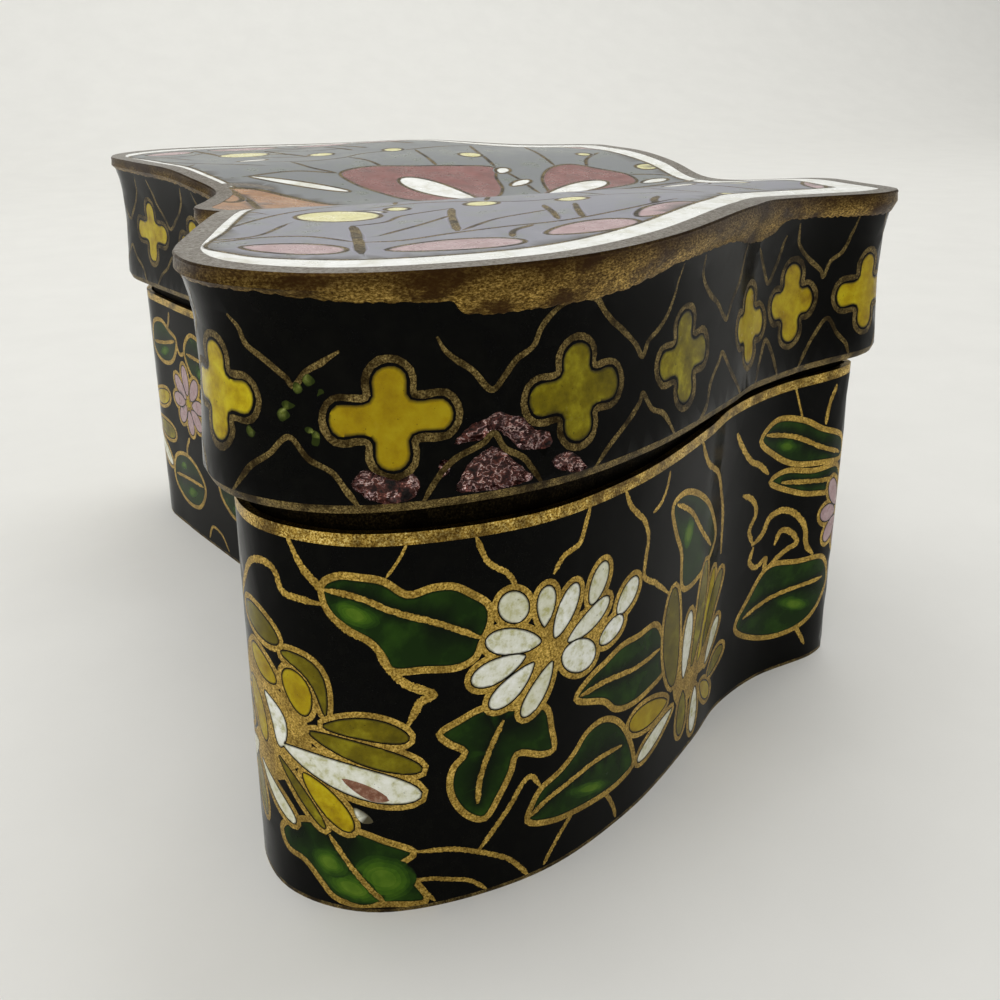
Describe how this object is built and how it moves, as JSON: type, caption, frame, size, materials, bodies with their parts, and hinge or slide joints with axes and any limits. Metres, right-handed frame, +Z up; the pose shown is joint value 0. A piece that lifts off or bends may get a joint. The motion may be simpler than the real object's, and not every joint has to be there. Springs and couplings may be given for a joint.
{
  "type": "cloisonne enamel box",
  "caption": "Butterfly-shaped cloisonne enamel box, hollow and empty, with an inner gilt collar and a lid that lifts off.",
  "frame": {"origin": "centre of the box's outline, on the flat underside that it stands on", "axes": "+X from the butterfly's head to its tail, +Y along the wings, +Z up"},
  "size_m": [0.06, 0.0898, 0.0448],
  "materials": {
    "base_enamel": "glossy black enamel with flowers in brass wire",
    "collar_gilt": "worn gilding on copper",
    "lid_enamel": "glossy enamel with wing cells in brass wire",
    "rim_brass": "worn dark brass"
  },
  "bodies": {
    "root": {"base_shell": "base_enamel", "inner_collar": "collar_gilt", "lid_shell": "lid_enamel", "lid_rim": "rim_brass"}
  },
  "joints": []
}
